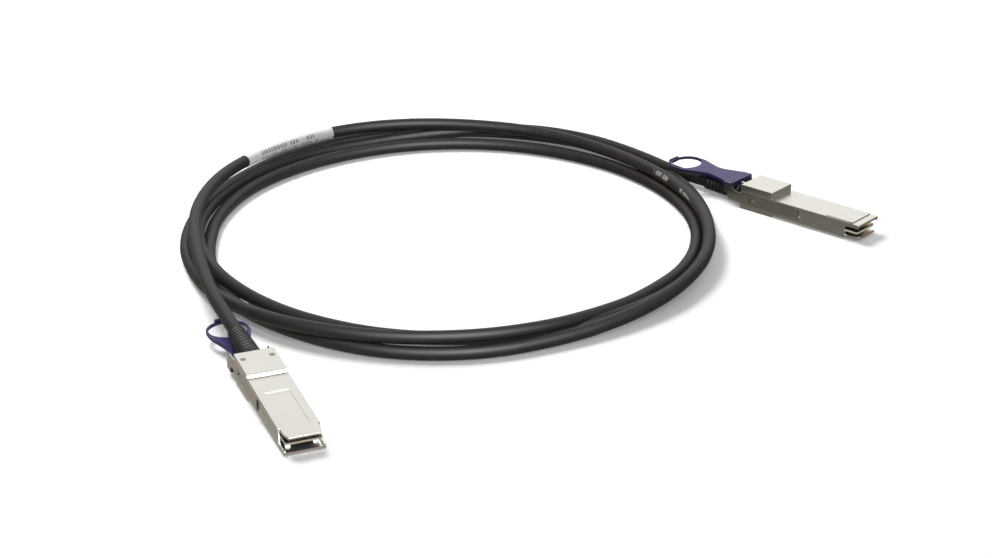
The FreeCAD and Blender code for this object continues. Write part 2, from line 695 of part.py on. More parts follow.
def plug(prefix, place):
    """All of one plug's pieces, set down where the plug lies."""
    keep(tab_side_shell(prefix + "_shell"), prefix + "_shell", place)
    keep(flat_side_cover(prefix + "_cover"), prefix + "_cover", place)
    keep(paddle_card(prefix + "_paddle_card"), prefix + "_paddle_card", place)
    keep(contacts(prefix + "_contacts"), prefix + "_contacts", place)
    keep(memory_chip(prefix + "_memory_chip"), prefix + "_memory_chip", place)
    keep(crimp_ring(prefix + "_crimp_ring"), prefix + "_crimp_ring", place)
    keep(wire_fan(prefix + "_wire_fan"), prefix + "_wire_fan", place)
    keep(twin_wires(prefix + "_twin_wires"), prefix + "_twin_wires", place)
    keep(boot(prefix + "_boot"), prefix + "_boot", place)
    blank = latch_blank(prefix + "_latch")
    keep(latch(prefix + "_latch", blank), prefix + "_latch", place)
    keep(pull_tab(prefix + "_pull_tab", blank), prefix + "_pull_tab", place)
    for hand, side in (("left", 1), ("right", -1)):
        keep(screw(prefix + "_screw_" + hand, side), prefix + "_screw_" + hand, place)
        keep(guide_pin(prefix + "_pin_" + hand, side), prefix + "_pin_" + hand, place)
        keep(spring(prefix + "_spring_" + hand, side), prefix + "_spring_" + hand, place)


# The near plug rests on its box's front edge and on the raised pad.
pad_top = size("plug_height") + size("pad_rise")
box_top = size("plug_height") + size("box_rise")
tilt = math.atan2(box_top - pad_top, size("pad_end") - size("box_length"))
near_z = size("box_length") * math.sin(tilt) + box_top * math.cos(tilt)
near_turn = Rotation(size("near_turn"), math.degrees(tilt), 180)
near = Placement(Vector(size("near_x"), size("near_y"), near_z), near_turn)
far = Placement(Vector(size("far_x"), size("far_y"), size("step_drop")),
                Rotation(size("far_turn"), 0, 0))
plug("plug_a", near)
plug("plug_b", far)


def runs_and_bends(points, name):
    """Straight runs joined by tangent arcs; prints the radii."""
    edges = []
    radii = []
    here = points[0]
    for number in range(1, len(points) - 1):
        before = points[number] - points[number - 1]
        after = points[number + 1] - points[number]
        reach = 0.45 * min(before.Length, after.Length)
        first = points[number] - Vector(before).normalize() * reach
        last = points[number] + Vector(after).normalize() * reach
        turn = before.getAngle(after)
        radii.append(reach / math.tan(turn / 2))
        inward = Vector(after).normalize() - Vector(before).normalize()
        middle = points[number] + inward.normalize() * radii[-1] * (1 / math.cos(turn / 2) - 1)
        edges.append(Part.makeLine(here, first))
        edges.append(Part.Arc(first, middle, last).toShape())
        here = last
    edges.append(Part.makeLine(here, points[-1]))
    print(name, "bend radii", [round(radius, 1) for radius in radii])
    return edges


def tube(edges, radius):
    start = edges[0]
    heading = start.tangentAt(start.FirstParameter)
    ring = Part.Wire(Part.makeCircle(radius, start.valueAt(start.FirstParameter), heading))
    return Part.Wire(edges).makePipeShell([ring], True, False)


def stretch(edges, begin, finish):
    """The part of a path between two distances along it."""
    kept = []
    done = 0
    for edge in edges:
        low = max(begin - done, 0)
        high = min(finish - done, edge.Length)
        if high - low > 0.01:
            kept.append(edge.Curve.toShape(edge.getParameterByLength(low),
                                           edge.getParameterByLength(high)))
        done += edge.Length
    return kept


cord = size("cord_radius")
middle_x = size("coil_x")
middle_y = size("coil_y")


def on_coil(angle, radius, height):
    turn = math.radians(angle)
    return Vector(middle_x + radius * math.cos(turn), middle_y + radius * math.sin(turn), height)


# The tails leave the boots straight and end inside the coil's outer turns.
start_a = near.multVec(Vector(0, 0, size("cord_axis")))
start_b = far.multVec(Vector(0, 0, size("cord_axis")))
path_a = [start_a, near.multVec(Vector(-52, 0, size("cord_axis"))), on_coil(-160, 131.0, 14.6),
          on_coil(174, 130.5, 15.0), on_coil(151, 136.2, 14.6), on_coil(128, 142.0, 13.2),
          on_coil(112, 142.0, 12.4)]
path_b = [start_b, far.multVec(Vector(-50, 0, size("cord_axis"))), on_coil(47, 142.0, 7.6),
          on_coil(63, 144.5, 8.0)]
tails = []
for name, path in (("cable_tail_a", path_a), ("cable_tail_b", path_b)):
    edges = runs_and_bends(path, name)
    tails.append((name, edges, tube(edges, cord)))

# Outer shape of the coil, every thirty degrees from +X: innermost and outermost turn on the
# floor, then where the pile is highest and how high it is there.
PILE = [(124.2, 131.0, 129.0, 12.9), (124.9, 139.2, 127.0, 12.9), (127.6, 147.0, 134.0, 13.0),
        (128.8, 147.4, 137.2, 14.5), (125.9, 143.8, 137.5, 11.8), (123.5, 137.2, 130.4, 9.4),
        (122.0, 134.2, 126.0, 11.4), (127.0, 135.4, 129.8, 11.6), (124.9, 138.6, 139.5, 12.2),
        (126.6, 142.8, 138.0, 12.4), (124.6, 135.4, 128.6, 10.0), (123.2, 131.6, 130.4, 11.6)]
BETWEEN = 3
sections = []
for number in range(len(PILE) * BETWEEN):
    here = PILE[number // BETWEEN]
    there = PILE[(number // BETWEEN + 1) % len(PILE)]
    share = (1 - math.cos(math.pi * (number % BETWEEN) / BETWEEN)) / 2
    inner, outer, crest, top = [a + (b - a) * share for a, b in zip(here, there)]
    angle = number * 360 / (len(PILE) * BETWEEN)
    shape = [(inner - cord, cord), (inner - 0.3 * cord, 0), (outer + 0.3 * cord, 0),
             (outer + cord, cord), (outer + 0.8 * cord, 1.8 * cord), (crest + 0.8 * cord, top),
             (crest - 0.8 * cord, top), (inner - 0.7 * cord, 1.8 * cord)]
    sections.append(polygon([on_coil(angle, radius, height) for radius, height in shape]))
ring = Part.makeLoft(sections, True, False, True)
print("coil solid", ring.isValid(), round(ring.Volume))
sleeve_path = stretch(tails[0][1], size("label_start"), size("label_end"))
wrap = tube(sleeve_path, size("label_radius"))
sleeve = wrap.cut(tube(sleeve_path, cord + size("cord_play")))
for solid in [wrap] + [solid for name, edges, solid in tails]:
    ring = ring.cut(solid)
ring = max(ring.Solids, key=lambda solid: solid.Volume)
keep(feature("cable_coil", ring), "cable_coil", Placement())
for name, edges, solid in tails:
    keep(feature(name, solid), name, Placement())
    length = sum(edge.Length for edge in edges)
    print(name, "length", round(length, 1), "volume", round(solid.Volume, 1), "section x length",
          round(math.pi * cord ** 2 * length, 1))
keep(feature("cable_label", sleeve), "cable_label", Placement())

doc.recompute()
wrong = []
for obj in doc.Objects:
    if "Invalid" in obj.State or "Error" in " ".join(obj.State):
        wrong.append("%s is in state %s" % (obj.Name, obj.State))
    shape = getattr(obj, "Shape", None)
    if shape is not None and not shape.isNull() and not shape.isValid():
        wrong.append(obj.Name + " has a broken shape")
if wrong:
    raise SystemExit("\n".join(wrong))
os.makedirs("parts", exist_ok=True)
for obj in nodes:
    box_of = obj.Shape.BoundBox
    print("%-22s solids %d volume %.1f z %.2f to %.2f" % (obj.Label, len(obj.Shape.Solids),
          obj.Shape.Volume, box_of.ZMin, box_of.ZMax))
    obj.Shape.exportStep("parts/%s.step" % obj.Label)
print(len(nodes), "nodes")
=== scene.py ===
# %% [markdown]
# # A direct attach copper cable
# Two metal plugs end one black cable that lies in a loose coil. The solid
# model of the part is loaded first and stays where it is. Everything made
# here goes over it, in the same frame and in metres, so a piece sits where
# the solid model says and needs no fitting by eye.
# %% Load the solid model
import math
import bpy
from mathutils import Matrix, Vector


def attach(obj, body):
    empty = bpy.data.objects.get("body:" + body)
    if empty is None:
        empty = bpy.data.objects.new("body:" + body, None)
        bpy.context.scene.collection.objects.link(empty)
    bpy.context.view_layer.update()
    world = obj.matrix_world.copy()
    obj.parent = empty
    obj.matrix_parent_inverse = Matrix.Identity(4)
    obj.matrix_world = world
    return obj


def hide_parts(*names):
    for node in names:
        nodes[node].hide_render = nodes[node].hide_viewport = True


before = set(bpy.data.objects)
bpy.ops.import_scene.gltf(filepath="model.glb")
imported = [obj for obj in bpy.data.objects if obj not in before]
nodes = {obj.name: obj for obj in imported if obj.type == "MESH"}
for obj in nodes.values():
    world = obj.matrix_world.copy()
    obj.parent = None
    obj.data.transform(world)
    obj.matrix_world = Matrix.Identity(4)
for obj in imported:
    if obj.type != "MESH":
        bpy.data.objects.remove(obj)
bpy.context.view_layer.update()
scene = bpy.context.scene
scene.view_settings.view_transform = "Standard"
MM = 0.001

# %% [markdown]
# ## Camera
# The cable is seen from the front and a little above, from almost a metre
# away. A long lens keeps the two plugs nearly the same size, as a small
# object looks on a table.
# %% Camera
EYE = Vector((-31.32, -913.67, 418.1)) * MM
AIM = Vector((-31.32, 21.53, 0)) * MM
LENS = 76.3
SENSOR = 36


def facing(place, aim):
    """The turn that points a camera or a lamp from one place at another."""
    return (Vector(aim) - Vector(place)).to_track_quat("-Z", "Y").to_euler()


camera = bpy.data.objects.new("camera", bpy.data.cameras.new("camera"))
scene.collection.objects.link(camera)
camera.location = EYE
camera.rotation_euler = facing(EYE, AIM)
camera.data.lens = LENS
camera.data.sensor_width = SENSOR
scene.camera = camera
print("camera to coil, mm:", round((AIM - EYE).length / MM))

# %% [markdown]
# ## Helpers for finishes
# Colours are written as sRGB hex, as a paint chart gives them, and turned to
# the linear values that a renderer works in. One small function adds a node
# with its settings and what feeds it. Two patterns come back in most
# finishes: soft clouds between two tones, because no real surface has one
# flat colour, and a fine grain, which breaks up what the surface reflects.
# Both take their sizes in millimetres.
# %% Colour and node helpers
def colour(code):
    """Linear colour from an sRGB hex code."""
    parts = [int(code[i:i + 2], 16) / 255 for i in (1, 3, 5)]
    return [p / 12.92 if p < 0.04045 else ((p + 0.055) / 1.055) ** 2.4 for p in parts] + [1]


def feed(made, inputs):
    """Fill a node's inputs, by name or in order. A node stands for its first live output."""
    named = inputs if isinstance(inputs, dict) else dict(enumerate(inputs))
    for name, value in named.items():
        if isinstance(value, bpy.types.Node):
            value = next(socket for socket in value.outputs if socket.enabled)
        if isinstance(value, bpy.types.NodeSocket):
            made.id_data.links.new(value, made.inputs[name])
        else:
            made.inputs[name].default_value = value


def put(tree, kind, inputs=(), stops=(), **settings):
    """Add a node with its settings, its colour stops if it is a ramp, and its inputs."""
    made = tree.nodes.new("ShaderNode" + kind)
    for name, value in settings.items():
        setattr(made, name, value)
    for number, (place, code) in enumerate(stops):
        stop = made.color_ramp.elements[number]
        stop.position, stop.color = place, colour(code)
    feed(made, inputs)
    return made


def finish(name, **shader):
    """A new material, its node tree and its Principled shader with these settings."""
    made = bpy.data.materials.new(name)
    made.use_nodes = True
    main = made.node_tree.nodes["Principled BSDF"]
    feed(main, {key.replace("_", " "): value for key, value in shader.items()})
    return made, made.node_tree, main


# %% Two shared patterns
def clouded(tree, tones, across, detail=3.0, span=(0.3, 0.7)):
    """Clouds, and the colour that drifts with them between two tones."""
    cloud = put(tree, "TexNoise", {"Vector": put(tree, "TexCoord").outputs["Object"],
                                   "Scale": 1 / (across * MM), "Detail": detail})
    return cloud, put(tree, "ValToRGB", (cloud,), stops=zip(span, tones))


def grained(tree, across, strength, depth=0.1, detail=2.0):
    """Fine bumps, their width and depth in millimetres."""
    grain = put(tree, "TexNoise", {"Vector": put(tree, "TexCoord").outputs["Object"],
                                   "Scale": 1 / (across * MM), "Detail": detail})
    return put(tree, "Bump", {"Height": grain, "Strength": strength, "Distance": depth * MM})


# %% [markdown]
# ## Floor and light
# The part lies on a plain white sheet. A sheet that is white for the camera
# by itself keeps the lamps at a plain level, so that the metal isn't burnt
# out. What the metal sees of the sheet is a painted reflection: a glow that
# no lamp lights, brightest on the left and dimmer to the right, so that it
# paints the metal's sides lighter on the left and darker on the right. A
# broad soft box behind and over the cable lights the tops and leaves the
# near sides dark. A key lamp at the back left gives the soft shadows. A broad
# box in front only adds the sheen along the jacket, and a weak one beside it
# lifts the sides that are turned to the camera.
# %% Floor
FLOOR_ACROSS = 30
# What the camera sees is lifted by this share of white.
SHEET_LIFT = 0.16
# Painted reflection, seen only by metal: places across the sheet in metres, and the
# glow's brightness there, which paints the metal's sides lighter at left, darker at right.
PAINTED_BRIGHT_END, PAINTED_DIM_END = (-0.13, 0.4), (0.06, 0.18)

bpy.ops.mesh.primitive_plane_add(size=FLOOR_ACROSS, location=(0, 0, 0))
floor = bpy.context.object
floor.name = "floor"
# Uncoated paper, calendered: dead matt, with the flocks of its fibres faintly seen.
paper, tree, main = finish("white_paper_sheet", Roughness=0.9)
feed(main, {"Base Color": clouded(tree, ("#F0F0F0", "#F4F4F4"), across=2.5)[1]})
path = put(tree, "LightPath")
lift = put(tree, "Math", (path.outputs["Is Camera Ray"], SHEET_LIFT), operation="MULTIPLY")
lifted = put(tree, "Emission", {"Color": colour("#FFFFFF"), "Strength": lift})
sheet = put(tree, "AddShader", (main, lifted))
# Painted reflection: glossy rays see the sheet as an unlit glow, brighter at left and dimmer at
# right, which paints shade on the metal's sides.
side = put(tree, "SeparateXYZ", (put(tree, "TexCoord").outputs["Object"],))
level = put(tree, "MapRange", {"Value": side.outputs["X"],
                               "From Min": PAINTED_BRIGHT_END[0], "From Max": PAINTED_DIM_END[0],
                               "To Min": PAINTED_BRIGHT_END[1], "To Max": PAINTED_DIM_END[1]})
painted_reflection = put(tree, "Emission", {"Color": colour("#FFF6EA"), "Strength": level})
mirrored = put(tree, "Math", (path.outputs["Is Glossy Ray"],
                              path.outputs["Is Transmission Ray"]), operation="MAXIMUM")
feed(tree.nodes["Material Output"],
     {"Surface": put(tree, "MixShader", (mirrored, sheet, painted_reflection))})
floor.data.materials.append(paper)
print("floor, m across:", FLOOR_ACROSS)

# %% World and lamps
world = bpy.data.worlds.new("studio")
scene.world = world
world.use_nodes = True
tree = world.node_tree
heading = put(tree, "SeparateXYZ", (put(tree, "TexCoord").outputs["Generated"],))
height = put(tree, "ValToRGB", (heading.outputs["Z"],),
             stops=[(0.0, "#4C4B48"), (0.5, "#A8A8A6")])
feed(tree.nodes["Background"], {"Color": height, "Strength": 0.5})


def soft_box(name, place, aim, wide, high, power):
    """An area lamp, its place, aim and sizes in metres and its power in watts."""
    lamp = bpy.data.objects.new(name, bpy.data.lights.new(name, "AREA"))
    scene.collection.objects.link(lamp)
    lamp.data.shape = "RECTANGLE"
    lamp.data.size, lamp.data.size_y = wide, high
    lamp.data.energy = power
    lamp.location = place
    lamp.rotation_euler = facing(place, aim)
    print(name, "watts:", power)
    return lamp


soft_box("back_box", place=(-0.1, 1.7, 0.95), aim=(0, 0, 0.1), wide=3.2, high=1.5, power=15)
front_box = soft_box("front_box", place=(0.25, -1.2, 1.1), aim=(0.05, 0, 0),
                     wide=1.2, high=1.2, power=62)
front_box.visible_diffuse = False
key_box = soft_box("key_box", place=(-0.6, 0.7, 1.15), aim=(-0.03, 0.03, 0),
                   wide=0.6, high=0.6, power=20.5)
key_box.visible_glossy = False
fill_box = soft_box("fill_box", place=(0.3, -1.3, 1.2), aim=(0, 0, 0),
                    wide=1.6, high=1.2, power=7)
fill_box.visible_glossy = False

# %% [markdown]
# ## Where the plugs lie
# Each plug has its own axes: X runs from its rear face to its mouth, Y across
# it, Z from its flat side to its tab side. The near plug lies tab side down
# and a little nose down, the far plug tab side up.
# %% Plug axes
def axes(x, y, z, heading, nose_down, roll):
    """A plug's axes in the frame, from its rear face's place in mm and turns in degrees."""
    turn = (Matrix.Rotation(math.radians(heading), 4, "Z")
            @ Matrix.Rotation(math.radians(nose_down), 4, "Y")
            @ Matrix.Rotation(math.radians(roll), 4, "X"))
    return Matrix.Translation(Vector((x, y, z)) * MM) @ turn


PLUGS = {"plug_a": axes(-137.32, -87.47, 13.289, heading=-67.4, nose_down=3.78, roll=180),
         "plug_b": axes(103.18, 120.03, 1.35, heading=-41.3, nose_down=0, roll=0)}
# How far the middle of the cord lies above a plug's flat side, in mm.
CORD_AXIS = 3.9
# The bodies that each plug's fixed parts, and its slide, ride on.
FIXED = ("cable_and_plugs", "cable_and_plugs")
SLIDES = ("latch_a", "latch_b")


def at(plug, x, y, z):
    """A point in a plug's own millimetres, in the frame."""
    return PLUGS[plug] @ (Vector((x, y, z)) * MM)


print("plugs:", *PLUGS)

# %% [markdown]
# ## The cable
# A cable this long is wound by hand: each turn falls a little beside or on
# the last one, so no turn is quite round or quite level. One smooth spline
# carries the whole cable, from the near plug's rear face round the coil to
# the far plug's. The points near the plugs are given one by one. Round the
# coil, a loop turns a heading in degrees, a distance from the middle and a
# height into a point, about every twenty degrees. A spline of this kind
# passes inside its points: opposite a point it takes three quarters of that
# point and one quarter of its neighbours. The loop puts the points out by
# the amount that this cuts in.
# %% The coil's passes
# The coil's middle and the cable's thickness in mm, and how a spline of this
# kind shares itself between a point and the two beside it.
COIL = Vector((-53.82, 74.43, 0))
ACROSS = 6.5
OWN_SHARE, SIDE_SHARE = 0.75, 0.25
TOP_PASS = [
    (-137.5, 147.2, 13.2), (-150, 135.8, 13.7), (-165, 129.6, 14.5), (-180, 128.8, 14.8),
    (-196, 130.2, 14.8), (-211, 133.0, 14.0), (-226, 137.1, 12.5), (-241, 140.6, 11.9),
    (-256, 140.1, 11.5), (-272, 136.8, 11.1), (-290, 134.6, 10.3), (-310, 128.6, 9.8),
    (-332, 126.3, 9.7), (-354, 128.4, 9.7), (-376, 132.1, 9.5), (-394, 134.3, 7.8),
    (-410, 134.8, 5.4), (-426, 136.2, 3.6), (-444, 141.8, 3.3), (-462, 142.8, 3.3),
    (-480, 138.0, 3.3), (-498, 134.6, 3.3), (-514, 126.8, 3.3), (-530, 122.2, 3.3)]
INNER_PASS = [
    (-550, 122.0, 3.3), (-572, 123.2, 3.3), (-596, 124.4, 3.3), (-620, 126.8, 3.3),
    (-644, 127.4, 3.3), (-668, 126.2, 3.3), (-692, 125.2, 3.3), (-716, 124.9, 3.3),
    (-740, 124.0, 3.3), (-762, 122.1, 3.5), (-776, 124.6, 5.2), (-790, 131.9, 8.1),
    (-806, 137.3, 9.4), (-824, 140.4, 9.4), (-842, 142.6, 9.3), (-858, 140.6, 7.6),
    (-874, 134.8, 3.6), (-892, 134.0, 3.3)]
OUTER_PASS = [
    (-912, 133.8, 3.3), (-932, 136.4, 3.3), (-952, 143.0, 3.3), (-972, 147.0, 3.3),
    (-996, 147.6, 3.3), (-1018, 147.2, 3.3), (-1038, 143.8, 3.3), (-1056, 137.0, 3.3),
    (-1074, 131.4, 3.3), (-1094, 130.0, 3.3), (-1116, 129.6, 3.3), (-1138, 128.3, 3.3),
    (-1160, 126.9, 3.3), (-1182, 126.1, 3.3), (-1202, 124.8, 3.5), (-1218, 126.8, 5.6),
    (-1232, 129.0, 9.4), (-1250, 127.6, 8.4)]
LAST_PASS = [
    (-1268, 128.2, 6.6), (-1288, 129.6, 5.0), (-1310, 133.9, 4.0), (-1332, 136.8, 3.5),
    (-1350, 139.6, 5.6), (-1366, 143.4, 7.9), (-1382, 142.2, 8.0), (-1396, 139.6, 7.4)]
passes = TOP_PASS + INNER_PASS + OUTER_PASS + LAST_PASS
coil = []
for number, (heading, radius, height) in enumerate(passes):
    beside = passes[max(number - 1, 0):number + 2]
    step = math.radians(beside[0][0] - beside[-1][0]) / (len(beside) - 1)
    radius /= OWN_SHARE + SIDE_SHARE * math.cos(step)
    turn = math.radians(heading)
    coil.append((COIL + Vector((radius * math.cos(turn), radius * math.sin(turn), height))) * MM)
print("points round the coil:", len(coil))

# %% The cable's spline
route = [at("plug_a", x, 0, CORD_AXIS) for x in (0, -22, -45)] + coil \
    + [at("plug_b", x, 0, CORD_AXIS) for x in (-50, -26, 0)]


def tube(name, kind, points, radius, smoothness):
    """A tube with closed ends along a NURBS or a POLY line of points."""
    data = bpy.data.curves.new(name, "CURVE")
    data.dimensions = "3D"
    line = data.splines.new(kind)
    line.points.add(len(points) - 1)
    for point, place in zip(line.points, points):
        point.co = (*place, 1)
    data.bevel_depth = radius
    data.bevel_resolution = smoothness
    data.use_fill_caps = True
    made = bpy.data.objects.new(name, data)
    scene.collection.objects.link(made)
    return made


cable = tube("cable_jacket", "NURBS", route, ACROSS * MM / 2, 5)
spline = cable.data.splines[0]
spline.order_u = 3
spline.use_endpoint_u = True
spline.resolution_u = 8

# %% The cable's middle line
# With no thickness for a moment, the cable is its own middle line. What is
# wrapped round it later follows the points read here.
cable.data.bevel_depth = 0
bpy.context.view_layer.update()
line = bpy.data.meshes.new_from_object(
    cable.evaluated_get(bpy.context.evaluated_depsgraph_get()))
centre = [v.co.copy() for v in line.vertices]
bpy.data.meshes.remove(line)
cable.data.bevel_depth = ACROSS * MM / 2
reach = [0.0]
for one, two in zip(centre, centre[1:]):
    reach.append(reach[-1] + (two - one).length)
print("cable length, m:", round(reach[-1], 3))

# %% [markdown]
# ## Cable jacket
# PVC, extruded over the braid. An extruded skin is smooth and satin black,
# with a faint unevenness from the wires under it. Here and there a short row
# of pale print, as a printing wheel leaves it, has stayed on the jacket. It
# is found by its heading round the coil and its distance from the middle.
# %% Patterns for print
# The share of a row's marks that is left out.
SKIPPED = 0.22


def overlap(tree, first, *others):
    """Where all of these patterns are at once."""
    for other in others:
        first = put(tree, "Math", (first, other), operation="MULTIPLY")
    return first


def between(tree, value, low, high):
    """One where a value lies in a range, zero elsewhere."""
    return overlap(tree, put(tree, "Math", (value, low), operation="GREATER_THAN"),
                   put(tree, "Math", (value, high), operation="LESS_THAN"))


def dashes(tree, value, pitch, share, seed):
    """A row of short marks with a random one left out here and there."""
    step = put(tree, "Math", (value, pitch), operation="DIVIDE")
    part = put(tree, "Math", (step,), operation="FRACT")
    cell = put(tree, "Math", (put(tree, "Math", (step,), operation="FLOOR"), seed),
               operation="ADD")
    dice = put(tree, "TexWhiteNoise", {"W": cell}, noise_dimensions="1D")
    return overlap(tree, put(tree, "Math", (part, share), operation="LESS_THAN"),
                   put(tree, "Math", (dice, SKIPPED), operation="GREATER_THAN"))


# %% Jacket finish
# The print's height and distances from the coil's middle in mm, and the
# headings where it has stayed and the spacing of its marks in degrees.
PRINT_ABOVE = 10.2
PRINT_ROW = (123.7, 125.0)
PRINT_LEFT = ((5.5, 17.5), (23.5, 30.5))
MARK_PITCH = 0.62
PRINT_COVERS = 0.75

# PVC has an IOR of about 1.5. Off the die it is satin, so it gives the eye a
# soft line of light along the tops. The wires under it lie 1 mm apart.
jacket, tree, main = finish("extruded_pvc_jacket", IOR=1.5, Specular_IOR_Level=0.55)
cloud, skin = clouded(tree, ("#1B1613", "#251F1B"), across=8.333)
spot = put(tree, "TexCoord").outputs["Object"]
place = put(tree, "SeparateXYZ", (put(tree, "VectorMath", (spot, COIL * MM),
                                      operation="SUBTRACT"),))
off_x, off_y = place.outputs["X"], place.outputs["Y"]
turned = put(tree, "Math", (put(tree, "Math", (off_y, off_x), operation="ARCTAN2"),),
             operation="DEGREES")
away = put(tree, "VectorMath", (put(tree, "CombineXYZ", (off_x, off_y)),), operation="LENGTH")
on_top = put(tree, "Math", (place.outputs["Z"], PRINT_ABOVE * MM), operation="GREATER_THAN")
left = put(tree, "Math", [between(tree, turned, *headings) for headings in PRINT_LEFT],
           operation="ADD")
flecks = overlap(tree, on_top, between(tree, away, *(r * MM for r in PRINT_ROW)), left,
                 dashes(tree, turned, MARK_PITCH, share=0.6, seed=3.0), PRINT_COVERS)
worn = put(tree, "Mix", {0: flecks, 6: skin, 7: colour("#B8B4AC")}, data_type="RGBA")
rough = put(tree, "MapRange", {"Value": cloud, "To Min": 0.51, "To Max": 0.57})
feed(main, {"Base Color": worn, "Roughness": rough,
            "Normal": grained(tree, across=1.111, strength=0.08, depth=0.2)})
cable.data.materials.append(jacket)
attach(cable, "cable_and_plugs")
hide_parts("cable_coil", "cable_tail_a", "cable_tail_b")
print("jacket nodes:", len(tree.nodes))

# %% [markdown]
# ## Wrapped label
# A white vinyl label is wrapped once round the cable near the near plug. It
# is a tube that follows the cable's own line, a hair outside the jacket. Its
# print is left as plain grey rows. Each corner of its mesh carries how far
# along and how far round the label it lies, so that the rows follow the wrap.
# %% Label
# Millimetres along the cable from the near plug, and from the cable's middle.
LABEL_START, LABEL_END = 243, 309.5
LABEL_RADIUS = 3.5
SMOOTH_BELOW = math.radians(35)


def alone(piece):
    """Make one piece the only one that is selected."""
    bpy.ops.object.select_all(action="DESELECT")
    piece.select_set(True)
    bpy.context.view_layer.objects.active = piece


def smooth(piece):
    """Shade a piece smooth, apart from its sharp edges."""
    alone(piece)
    bpy.ops.object.shade_smooth_by_angle(angle=SMOOTH_BELOW)


def along_cable(distance):
    """The point of the cable's middle line at a distance from the near plug."""
    number = next(n for n, r in enumerate(reach) if r > distance * MM)
    share = (distance * MM - reach[number - 1]) / (reach[number] - reach[number - 1])
    return centre[number - 1].lerp(centre[number], share)


inside = [p for p, r in zip(centre, reach) if LABEL_START * MM < r < LABEL_END * MM]
label = tube("wrapped_label", "POLY",
             [along_cable(LABEL_START), *inside, along_cable(LABEL_END)], LABEL_RADIUS * MM, 6)
alone(label)
bpy.ops.object.convert(target="MESH")
label = bpy.context.object
smooth(label)
wrap = label.data.attributes.new("wrap", "FLOAT_VECTOR", "POINT")
walk = [(along_cable(distance), distance)
        for distance in range(LABEL_START - 3, LABEL_START + 73)]
for corner in label.data.vertices:
    number = min(range(1, len(walk)), key=lambda n: (walk[n][0] - corner.co).length)
    middle, distance = walk[number]
    ahead = (middle - walk[number - 1][0]).normalized()
    out = corner.co - middle
    around = math.atan2(out.dot(ahead.cross(Vector((0, 0, 1)))), out.z) * LABEL_RADIUS
    wrap.data[corner.index].vector = (distance - LABEL_START, around, 0)
print("label corners:", len(label.data.vertices))

# %% Label finish
# Two rows of print in mm: the range round the label, the range along it, the
# marks' spacing, and the share of it that is ink.
ROWS = (((2.7, 5.0), (11, 53), 2.0, 0.62),
        ((5.9, 7.3), (11, 56), 1.25, 0.66))
INK_COVERS = 0.62

# Calendered vinyl film with an IOR of about 1.45: a clean white with a low
# gloss, wavy where it was pressed on by hand. The ink is rubbed and pale.
vinyl, tree, main = finish("printed_vinyl_label", Roughness=0.35, IOR=1.45)
wave, white = clouded(tree, ("#F0F2F2", "#F7F8F8"), across=3.846, span=(0.35, 0.65))
wrapped = put(tree, "Attribute", attribute_name="wrap")
place = put(tree, "SeparateXYZ", (wrapped.outputs["Vector"],))
along, around = place.outputs["X"], place.outputs["Y"]
rows = [overlap(tree, between(tree, around, *up), between(tree, along, *run),
                dashes(tree, along, pitch, share, seed=up[0]))
        for up, run, pitch, share in ROWS]
ink = overlap(tree, put(tree, "Math", rows, operation="MAXIMUM"), INK_COVERS)
tint = put(tree, "Mix", {0: ink, 6: white, 7: colour("#4C4E52")}, data_type="RGBA")
feed(main, {"Base Color": tint,
            "Normal": put(tree, "Bump", {"Height": wave, "Strength": 0.08,
                                         "Distance": 0.2 * MM})})
label.data.materials.clear()
label.data.materials.append(vinyl)
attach(label, "cable_and_plugs")
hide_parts("cable_label")
print("label nodes:", len(tree.nodes))

# %% [markdown]
# ## Metals
# A metal has no colour under its surface: its tint is that of what it
# reflects, and its roughness says how far that is blurred. Plating and
# rolling leave both a little uneven, in clouds a few millimetres across. The
# texture under the plating is under 0.1 mm and too fine to show, so it is
# drawn up to 0.7 mm wide, and only just deep enough to soften an edge of
# light.
# %% Metal finishes
def metal(name, tones, roughness, grain):
    """A plated or rolled metal that is a little duller here and there."""
    made, tree, main = finish(name, Metallic=1.0)
    cloud, tint = clouded(tree, tones, across=5.556, detail=4.0)
    rough = put(tree, "MapRange", {"Value": cloud, "To Min": roughness - 0.02,
                                   "To Max": roughness + 0.03})
    feed(main, {"Base Color": tint, "Roughness": rough,
                "Normal": grained(tree, grain, strength=0.015, detail=3.0)})
    return made


# Zinc, die cast, tumbled and nickel plated: a warm, satin, pale grey.
nickel = metal("nickel_plated_zinc", ("#DAD8D0", "#E0DED7"), roughness=0.3, grain=0.6667)
# Cold rolled strip, stamped and bent: greyer, and a little sharper to reflect.
steel = metal("stamped_stainless_steel", ("#BEBCB4", "#C9C7C0"), roughness=0.26, grain=0.6667)
# Headed wire, zinc plated: dull and darker, so that the heads stand out.
screw_steel = metal("zinc_plated_screw", ("#8E8C86", "#A9A7A0"), roughness=0.3, grain=0.3333)
# Drawn tube, squeezed round the braid: yellow and slightly tarnished.
brass = metal("crimped_brass", ("#A8894E", "#BE9F62"), roughness=0.35, grain=0.4)
# Gold on polished nickel: the smoothest and warmest of them.
gold = metal("hard_gold_plate", ("#D9A94A", "#E8BF66"), roughness=0.2, grain=0.3333)
print("metals:", *(m.name for m in (nickel, steel, screw_steel, brass, gold)))

# %% [markdown]
# ## Plastics and the board
# Moulded plastic copies the sparked texture of its mould, which is finer
# than 0.1 mm. That is too fine to show, so it is drawn about 0.5 mm wide. It
# spreads the highlights and lets the colour through. Most plastics have an
# IOR near 1.5.
# %% Plastic finishes
def moulded(name, tones, roughness, grain, strength, edge=None):
    """A moulded plastic or rubber, or a board whose sawn edges have another colour."""
    made, tree, main = finish(name, Roughness=roughness, IOR=1.5)
    cloud, tint = clouded(tree, tones, across=6.667)
    if edge:
        up = put(tree, "SeparateXYZ", (put(tree, "TexCoord").outputs["Normal"],)).outputs["Z"]
        level = put(tree, "Math", (put(tree, "Math", (up,), operation="ABSOLUTE"), 0.5),
                    operation="GREATER_THAN")
        tint = put(tree, "Mix", {0: level, 6: colour(edge), 7: tint}, data_type="RGBA")
    feed(main, {"Base Color": tint, "Normal": grained(tree, grain, strength)})
    return made


